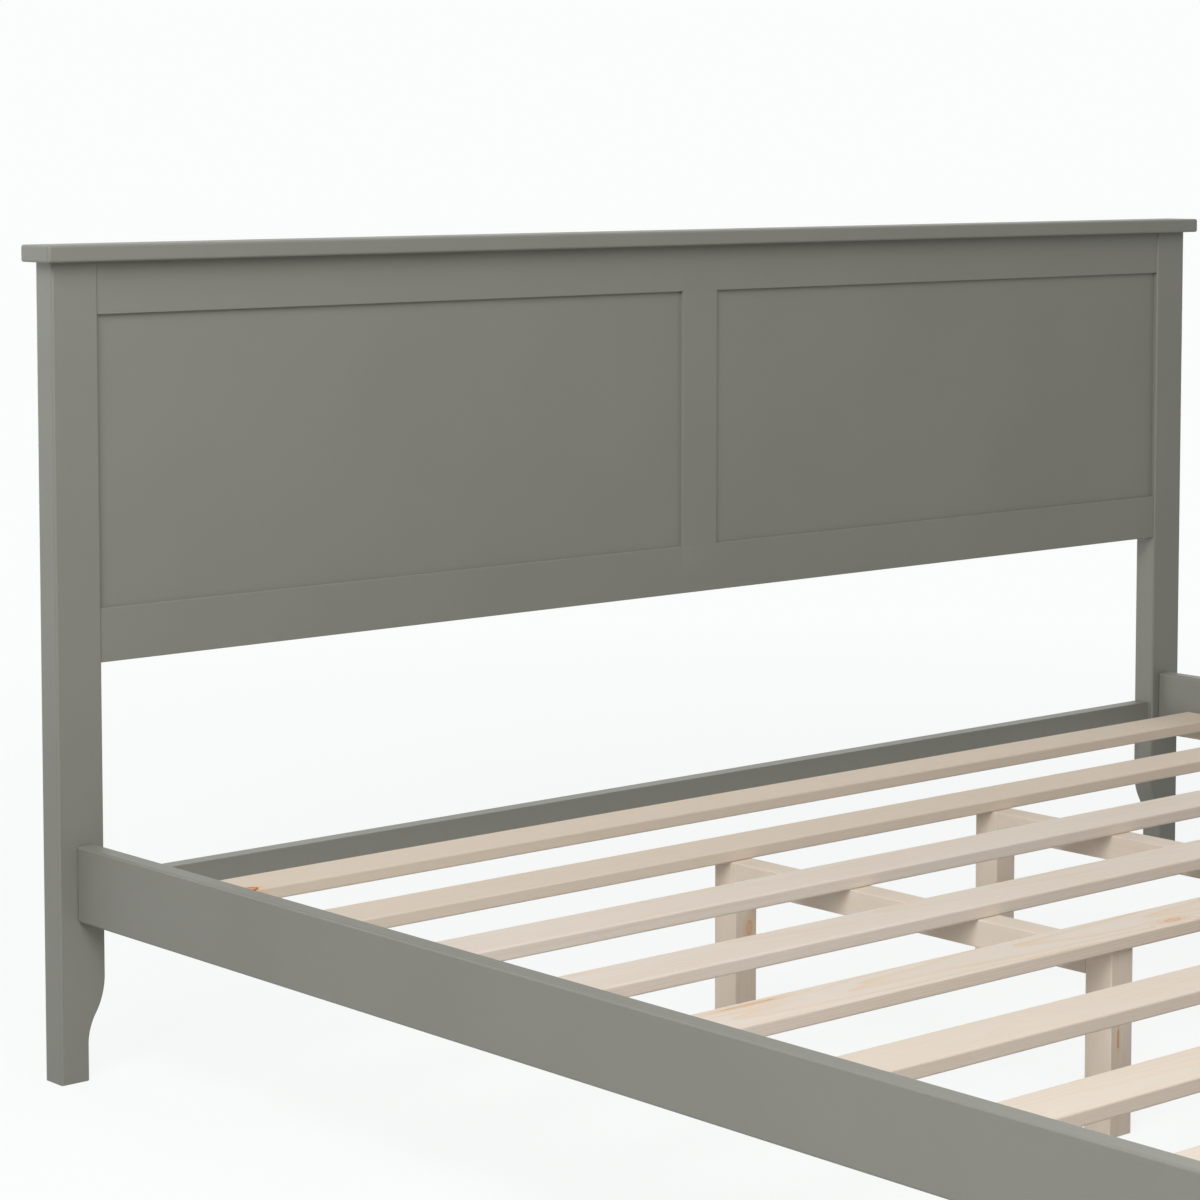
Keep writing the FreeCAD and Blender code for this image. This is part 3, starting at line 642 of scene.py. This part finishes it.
def frame_rail(node, groove_at_top):
    """A rail of the headboard, its groove in its upper or its lower edge."""
    low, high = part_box(node)
    front, back = (corner.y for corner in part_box("head_panel_left"))
    draft = eased_rail(low, high, high.z if groove_at_top else low.z)
    tenon_low = low.z + (TENON_INSET if groove_at_top else GROOVE_DEPTH)
    tenon_high = high.z - (GROOVE_DEPTH if groove_at_top else TENON_INSET)
    tenon = block(Vector((low.x, front, tenon_low)), Vector((high.x, back, tenon_high)))
    draft = combined(draft, tenon, "UNION")
    groove_low, groove_high = (
        (high.z - GROOVE_DEPTH, high.z + OVERCUT) if groove_at_top
        else (low.z - OVERCUT, low.z + GROOVE_DEPTH)
    )
    groove = block(
        Vector((low.x - OVERCUT, front - GROOVE_CLEARANCE, groove_low)),
        Vector((high.x + OVERCUT, back + GROOVE_CLEARANCE, groove_high)),
    )
    draft = combined(draft, groove, "DIFFERENCE")
    return finish_piece(draft, "painted_" + node, lacquer, [node])


frame_rail("head_top_rail", groove_at_top=False)
frame_rail("head_bottom_rail", groove_at_top=True)
print("the frame's rails stand")

# %% Mullion
STUB_LENGTH = 0.009


def mullion(node):
    low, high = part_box(node)
    front, back = (corner.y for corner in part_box("head_panel_left"))
    foot, top = low.z + STUB_LENGTH, high.z - STUB_LENGTH
    draft = block(Vector((low.x, low.y, foot)), Vector((high.x, high.y, top)))
    round_edges(draft, edges_along(draft, UPRIGHT), FRAME_ROUNDING, FINE_STEPS)
    stub = high.x - GROOVE_DEPTH
    draft = combined(
        draft, block(Vector((-stub, front, low.z)), Vector((stub, back, high.z))), "UNION",
    )
    for near, far in ((low.x - OVERCUT, -stub), (stub, high.x + OVERCUT)):
        groove = block(
            Vector((near, front - GROOVE_CLEARANCE, foot - OVERCUT)),
            Vector((far, back + GROOVE_CLEARANCE, top + OVERCUT)),
        )
        draft = combined(draft, groove, "DIFFERENCE")
    return finish_piece(draft, "painted_" + node, lacquer, [node])


mullion("head_mullion")
print("the mullion stands")

# %% Lacquer the pieces that keep their model
def dress(node, material):
    """Give a node of the model its finish."""
    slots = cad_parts[node].material_slots
    if not slots:
        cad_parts[node].data.materials.append(material)
    for material_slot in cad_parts[node].material_slots:
        material_slot.material = material


for node in ("head_panel_left", "head_panel_right", "head_cross_rail"):
    dress(node, lacquer)
print("the panels and the cross rail are lacquered")

# %% [markdown]
# ## Wood screws
# The slats, cleats and beams are held by countersunk screws, whose heads are flush with the
# wood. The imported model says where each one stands, so a screw's place, direction and length
# are read from it. The screws are put in order, so that every run cuts the boards in the same
# way. A screw is turned about its own axis. Its head is a disc, whose inner ring of corners is
# drawn in between four arms and pushed down for the cross recess. A cone leads to the shank
# and a long taper to the point. The same disc and cone, a little larger, sink the heads'
# seats into the boards.

# %% Find the screws
SCREW_NODES = ("slat_screws", "cleat_screws", "stand_screws")


def loose_parts(draft):
    """The corners of each loose part of a draft."""
    waiting = set(draft.verts)
    parts = []
    while waiting:
        part, border = [], [waiting.pop()]
        while border:
            corner = border.pop()
            part.append(corner)
            found = {edge.other_vert(corner) for edge in corner.link_edges} & waiting
            waiting -= found
            border.extend(found)
        parts.append(part)
    return parts


def read_screw(corners):
    """The middle of a screw's head, the way out of the wood, its head's radius and its length."""
    places = [corner.co for corner in corners]
    low = Vector(min(place[axis] for place in places) for axis in range(3))
    high = Vector(max(place[axis] for place in places) for axis in range(3))
    size, middle = high - low, (low + high) / 2
    along = max(range(3), key=lambda axis: size[axis])
    out = Vector((0.0, 0.0, 0.0))
    out[along] = 1.0

    def off_axis(place):
        away = place - middle
        return (away - away.dot(out) * out).length

    widest = max(places, key=off_axis)
    if (widest - middle).dot(out) < 0:
        out.negate()
    return middle + out * size[along] / 2, out, off_axis(widest), size[along]


def read_screws(node):
    draft = bmesh.new()
    draft.from_mesh(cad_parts[node].data)
    draft.transform(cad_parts[node].matrix_world)
    bmesh.ops.remove_doubles(draft, verts=draft.verts, dist=SAME_PLACE)
    found = [read_screw(part) for part in loose_parts(draft)]
    draft.free()
    return sorted(found, key=lambda screw: tuple(screw[0]))


screws = {node: read_screws(node) for node in SCREW_NODES}
all_screws = [screw for found in screws.values() for screw in found]
for node, found in screws.items():
    print(node, len(found), "the first at", tuple(round(value, 4) for value in found[0][0]))

# %% Shapes of a screw
SCREW_SIDES = 24
RECESS_ARM = 0.0023
RECESS_HALF_WIDTH = 0.00045
RECESS_DEPTH = 0.0013
RECESS_TAPER = 0.7


def turned(draft, rim, steps):
    """Carry a ring of edges down through some steps of radius and height, and close its end."""
    for radius, height in steps:
        drawn = bmesh.ops.extrude_edge_only(draft, edges=rim)
        corners = [item for item in drawn["geom"] if isinstance(item, bmesh.types.BMVert)]
        for corner in corners:
            flat = corner.co.xy.normalized() * radius
            corner.co = (flat.x, flat.y, height)
        rim = [item for item in drawn["geom"] if isinstance(item, bmesh.types.BMEdge)]
        rim = [edge for edge in rim if all(corner in corners for corner in edge.verts)]
    bmesh.ops.contextual_create(draft, geom=rim)


def disc(draft, radius):
    """A disc at the origin, turned by half a side, so that no corner lies on X or Y."""
    half_side = Matrix.Rotation(math.pi / SCREW_SIDES, 4, "Z")
    bmesh.ops.create_circle(
        draft, cap_ends=True, radius=radius, segments=SCREW_SIDES, matrix=half_side,
    )


def screw_head(draft, radius):
    """A disc with a cross recess. Returns its outer ring of edges."""
    disc(draft, radius)
    bmesh.ops.inset_region(
        draft, faces=draft.faces[:], thickness=radius - RECESS_ARM,
        use_boundary=True, use_even_offset=True,
    )
    rim = [edge for edge in draft.edges if edge.is_boundary]
    inner = max(draft.faces, key=lambda face: len(face.verts))
    for corner in inner.verts:
        narrower = min(abs(corner.co.x), abs(corner.co.y))
        corner.co.xy *= min(1.0, RECESS_HALF_WIDTH / narrower)
    sunk = bmesh.ops.extrude_face_region(draft, geom=[inner])
    bmesh.ops.delete(draft, geom=[inner], context="FACES_ONLY")
    corners = [item for item in sunk["geom"] if isinstance(item, bmesh.types.BMVert)]
    bmesh.ops.scale(draft, vec=(RECESS_TAPER, RECESS_TAPER, 1.0), verts=corners)
    bmesh.ops.translate(draft, vec=(0.0, 0.0, -RECESS_DEPTH), verts=corners)
    return rim


print("a screw has", SCREW_SIDES, "sides")

# %% Screws and their seats
SHANK_RADIUS = 0.002
HEAD_DEPTH = 0.0024
POINT_LENGTH = 0.006
POINT_RADIUS = 0.0003
SEAT_CLEARANCE = 0.0001
SEAT_OPENING = 0.001


def set_upright(draft, place, out):
    """Move a draft from the origin to a place, its Z axis turned to point out of the wood."""
    turn = Vector((0.0, 0.0, 1.0)).rotation_difference(out).to_matrix().to_4x4()
    draft.transform(Matrix.Translation(place) @ turn)


def join(draft, other):
    """Add another draft to this one. The other is used up."""
    mesh = bpy.data.meshes.new("joined")
    other.to_mesh(mesh)
    other.free()
    draft.from_mesh(mesh)
    bpy.data.meshes.remove(mesh)


def one_screw(place, out, radius, length):
    draft = bmesh.new()
    rim = screw_head(draft, radius)
    turned(draft, rim, (
        (SHANK_RADIUS, -HEAD_DEPTH),
        (SHANK_RADIUS, POINT_LENGTH - length),
        (POINT_RADIUS, -length),
    ))
    set_upright(draft, place, out)
    return draft


def seat(place, out, radius):
    """The space that a countersunk head takes in a board."""
    draft = bmesh.new()
    disc(draft, radius + SEAT_CLEARANCE)
    rim = draft.edges[:]
    bmesh.ops.translate(draft, vec=(0.0, 0.0, SEAT_OPENING), verts=draft.verts)
    turned(draft, rim, (
        (radius + SEAT_CLEARANCE, 0.0),
        (SHANK_RADIUS, -HEAD_DEPTH - SEAT_CLEARANCE),
    ))
    bmesh.ops.recalc_face_normals(draft, faces=draft.faces)
    set_upright(draft, place, out)
    return draft


print("a head has", SEAT_CLEARANCE, "m of room all round in its seat")

# %% Turn the screws
for node, found in screws.items():
    batch = bmesh.new()
    for screw in found:
        join(batch, one_screw(*screw))
    print(node, len(batch.faces), "faces")
    finish_piece(batch, "turned_" + node, zinc, [node])

# %% [markdown]
# ## Boards
# A board is sawn from the log at its own distance from the heart and a little askew, so that
# no two show the same figure. Slats, cleats, beams and legs are made alike: rounded, their
# screws' seats sunk, then laid in the log. What the photograph shows of single boards is
# written down for them: how warm the wood of seven slats is, the first slat's dark knot, the
# fifth slat's flames and pale knots, and a round knot and a spike knot in two legs. A seed from
# the board's own name draws the rest and keeps the draw the same each time.

# %% Boards that the photograph shows
# Places of knots are (heart, half size) on a board's seen face, along the board and across it.
SEEN_KNOTS = {
    "slat_01": (((-0.838, 0.894), (0.012, 0.0075)),),
    "slat_05": (((-0.145, 0.078), (0.014, 0.005)), ((-0.765, 0.122), (0.036, 0.003))),
    "support_leg_head_left_outer": (((0.128, -0.2346), (0.009, 0.005)),),
    "support_leg_head_left_inner": (((0.112, -0.2457), (0.010, 0.0016)),),
}
SEEN_LOOKS = {
    "slat_01": {"tone": 0.9, "knot_depth": 1.0},
    "slat_02": {"tone": 0.8},
    "slat_03": {"tone": 0.0},
    "slat_04": {"tone": 0.1},
    "slat_05": {"tone": 0.1, "figure": 0.55, "knot_depth": 0.28},
    "slat_06": {"tone": 0.4},
    "slat_07": {"tone": 0.4},
    "support_leg_head_left_outer": {"knot_depth": 0.2},
    "support_leg_head_left_inner": {"knot_depth": 0.6},
}
print("knots of the photograph on", len(SEEN_KNOTS), "boards")

# %% Place in the log
HEART_DISTANCE = (0.03, 0.11)
HEART_SIDE = 0.03
SKEW = math.radians(1.2)
LOG_LENGTH = 6.0


def lay_in_log(draft, middle, axes, draw):
    """Store on every corner of a board where it lay in its log, whose heart is the Z axis."""
    skew = Matrix.Rotation(draw.uniform(-SKEW, SKEW), 3, "X")
    skew @= Matrix.Rotation(draw.uniform(-SKEW, SKEW), 3, "Y")
    offset = Vector((
        draw.uniform(-HEART_SIDE, HEART_SIDE),
        draw.uniform(*HEART_DISTANCE),
        draw.uniform(0.0, LOG_LENGTH),
    ))
    along, across, through = axes
    layer = draft.verts.layers.float_vector.new("place_in_log")
    for corner in draft.verts:
        local = corner.co - middle
        corner[layer] = skew @ Vector((local[across], local[through], local[along])) + offset


print("hearts lie", HEART_DISTANCE[0], "to", HEART_DISTANCE[1], "m behind the boards")

# %% Knots
FAR_FROM_KNOTS = 99.0
KNOT_CHANCE = 0.6
KNOT_HALF_LENGTH = (0.006, 0.014)
KNOT_SLIMNESS = (0.5, 0.9)


def draw_knots(low, high, axes, draw):
    """Perhaps a knot, for a board that the photograph hides or shows only in part."""
    heart = [draw.uniform(low[axis], high[axis]) for axis in axes[:2]]
    half_length = draw.uniform(*KNOT_HALF_LENGTH)
    slimness = draw.uniform(*KNOT_SLIMNESS)
    has_knot = draw.random() < KNOT_CHANCE
    return ((heart, (half_length, half_length * slimness)),) if has_knot else ()


def mark_knots(draft, knots, axes):
    """Store on every corner the way to each knot's heart, counted in the knot's half sizes."""
    for number, name in enumerate(KNOT_LAYERS):
        layer = draft.verts.layers.float_vector.new(name)
        for corner in draft.verts:
            corner[layer] = (FAR_FROM_KNOTS, 0.0, 0.0)
            if number < len(knots):
                heart, half_size = knots[number]
                reach = [(corner.co[axes[side]] - heart[side]) / half_size[side] for side in (0, 1)]
                corner[layer] = (*reach, 0.0)


print("a drawn knot is at most", 2 * KNOT_HALF_LENGTH[1], "m long")

# %% Saw a board
BOARD_END_ROUNDING = 0.0012
TOUCH = 1e-4
FIGURE_RANGE = (0.1, 0.3)
TONE_RANGE = (0.0, 0.6)
KNOT_DEPTH_RANGE = (0.4, 0.9)
OUT_OF_SIGHT_Y = -0.5


def stands_in(screw, low, high):
    """Whether a screw's head lies in a board or on its face."""
    place = screw[0]
    return all(low[axis] - TOUCH < place[axis] < high[axis] + TOUCH for axis in range(3))


def pine_board(node, axes, radius):
    """A board with its axes given as along, across and through, the last to its seen face."""
    low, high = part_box(node)
    draw = random.Random(node)
    draft = block(low, high)
    round_edges(draft, edges_along(draft, axes[0]), radius, ROUNDING_STEPS)
    ends = (low[axes[0]], high[axes[0]])
    round_edges(draft, edges_at(draft, axes[0], ends), BOARD_END_ROUNDING, FINE_STEPS)
    for screw in all_screws:
        if stands_in(screw, low, high):
            draft = combined(draft, seat(*screw[:3]), "DIFFERENCE")
    lay_in_log(draft, (low + high) / 2, axes, draw)
    looks = {
        "tone": draw.uniform(*TONE_RANGE),
        "figure": draw.uniform(*FIGURE_RANGE),
        "knot_depth": draw.uniform(*KNOT_DEPTH_RANGE),
    }
    looks.update(SEEN_LOOKS.get(node, {}))
    for name, value in looks.items():
        layer = draft.verts.layers.float.new(name)
        for corner in draft.verts:
            corner[layer] = value
    is_hardly_seen = high.y < OUT_OF_SIGHT_Y or low.x > 0
    drawn = draw_knots(low, high, axes, draw) if is_hardly_seen else ()
    mark_knots(draft, SEEN_KNOTS.get(node, drawn), axes)
    return finish_piece(draft, "pine_" + node, pine, [node])


print("board ends are rounded by", BOARD_END_ROUNDING, "m")

# %% Slats, cleats and stands
SLAT_ROUNDING = 0.0025
STAND_ROUNDING = 0.0012
CLEAT_ROUNDING = 0.0012
BOARDS = (
    ("slat_cleat", (LENGTHWISE, UPRIGHT, ACROSS), CLEAT_ROUNDING),
    ("slat_", (ACROSS, LENGTHWISE, UPRIGHT), SLAT_ROUNDING),
    ("support_beam", (LENGTHWISE, UPRIGHT, ACROSS), STAND_ROUNDING),
    ("support_leg", (UPRIGHT, ACROSS, LENGTHWISE), STAND_ROUNDING),
)
boards = []
for node in sorted(set(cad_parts) - set(SCREW_NODES)):
    kind = next((board for board in BOARDS if node.startswith(board[0])), None)
    if kind:
        boards.append(pine_board(node, *kind[1:]))
print(len(boards), "boards are sawn")

# %% Dowels and plates, which keep their model
for node in ("stand_dowels", "cap_dowels"):
    dress(node, beech)
for node in ("rail_hook_plates", "post_keeper_plates", "plate_screws"):
    dress(node, zinc)
print("dowels and plates are dressed")

# %% [markdown]
# ## Floor, air and lamps
# The photograph has a white ground. The floor is a pale matt sheet that takes a soft shadow,
# and what the camera sees of it is mostly its own white, so no extra light falls on the bed.
# A large lamp high on the left and a nearer one in front give the photograph's light. A weak
# one above evens the slats, and three behind and on the right keep those sides readable.

# %% Rays that see the ground
GROUND_WHITE = chart_colour(251, 253, 252)


def camera_like_rays(tree):
    """1 for the rays that see the ground itself, by eye, in a gloss or through glass."""
    path = add_node(tree, "ShaderNodeLightPath")
    seen = calculate(tree, "MAXIMUM", path.outputs["Is Camera Ray"], path.outputs["Is Glossy Ray"])
    return calculate(tree, "MAXIMUM", seen, path.outputs["Is Transmission Ray"])


print("the ground's white is", tuple(round(level, 3) for level in GROUND_WHITE[:3]))

# %% Floor
FLOOR_SIZE = 40.0
FLOOR_DROP = 0.0005
FLOOR_SHADE = grey(0.6)
SEEN_FLOOR_SHADE = grey(0.98)
SEEN_SHARE_OF_SHADE = 0.11
SHADE_ENDS = (2.0, 4.0)
FLOOR_ROUGHNESS = 0.9


def make_floor():
    draft = bmesh.new()
    bmesh.ops.create_grid(draft, x_segments=1, y_segments=1, size=FLOOR_SIZE / 2)
    bmesh.ops.translate(draft, vec=(0.0, 0.0, -FLOOR_DROP), verts=draft.verts)
    mesh = bpy.data.meshes.new("floor")
    draft.to_mesh(mesh)
    draft.free()
    floor = bpy.data.objects.new("floor", mesh)
    bpy.context.scene.collection.objects.link(floor)
    material, tree, shader = new_finish("pale_floor")
    seen = camera_like_rays(tree)
    shade = blend_colours(tree, seen, FLOOR_SHADE, SEEN_FLOOR_SHADE)
    feed(tree, shader.inputs, Base_Color=shade, Roughness=FLOOR_ROUGHNESS, Specular_IOR_Level=0.0)
    white = add_node(tree, "ShaderNodeEmission")
    feed(tree, white.inputs, Color=GROUND_WHITE, Strength=1.0)
    mix = add_node(tree, "ShaderNodeMixShader")
    place = add_node(tree, "ShaderNodeTexCoord").outputs["Object"]
    distance = add_node(tree, "ShaderNodeVectorMath", operation="LENGTH")
    feed(tree, distance.inputs, Vector=place)
    white_share = remap(
        tree, distance.outputs["Value"], *SHADE_ENDS, 1.0 - SEEN_SHARE_OF_SHADE, 1.0
    )
    share = calculate(tree, "MULTIPLY", seen, white_share)
    tree.links.new(share, mix.inputs[0])
    tree.links.new(shader.outputs[0], mix.inputs[1])
    tree.links.new(white.outputs[0], mix.inputs[2])
    tree.links.new(mix.outputs[0], tree.nodes["Material Output"].inputs["Surface"])
    mesh.materials.append(material)


make_floor()
print("the floor lies", FLOOR_DROP, "m under the feet")

# %% Air
AIR_LEVEL = 0.2


def make_air():
    world = bpy.data.worlds.new("air")
    world.use_nodes = True
    tree = world.node_tree
    background = tree.nodes["Background"]
    seen = camera_like_rays(tree)
    colour = blend_colours(tree, seen, grey(AIR_LEVEL), GROUND_WHITE)
    feed(tree, background.inputs, Color=colour, Strength=1.0)
    bpy.context.scene.world = world


make_air()
print("the air's light is", AIR_LEVEL)

# %% Lamps
def soft_lamp(name, place, aim, size, power):
    """A large square lamp at a place, turned to a point."""
    data = bpy.data.lights.new(name, "AREA")
    data.size = size
    data.energy = power
    lamp = bpy.data.objects.new(name, data)
    lamp.location = place
    lamp.rotation_euler = (Vector(aim) - Vector(place)).to_track_quat("-Z", "Y").to_euler()
    bpy.context.scene.collection.objects.link(lamp)


soft_lamp("window", (-3.4, -1.0, 3.2), aim=(-0.3, 0.4, 0.4), size=2.0, power=111.0)
soft_lamp("near", (-2.2, -2.2, 2.4), aim=(-0.6, 0.4, 0.4), size=1.6, power=45.0)
soft_lamp("above", (-0.2, 0.1, 2.8), aim=(-0.1, 0.3, 0.2), size=1.8, power=9.5)
soft_lamp("back", (-1.0, 4.0, 3.0), aim=(0.0, 0.3, 0.4), size=2.5, power=8.0)
soft_lamp("low back", (-1.2, 4.2, 1.0), aim=(0.0, 1.0, 0.6), size=2.0, power=40.0)
soft_lamp("low right", (4.2, 1.6, 1.2), aim=(1.0, 0.0, 0.3), size=2.0, power=55.0)
print("lamps hang")
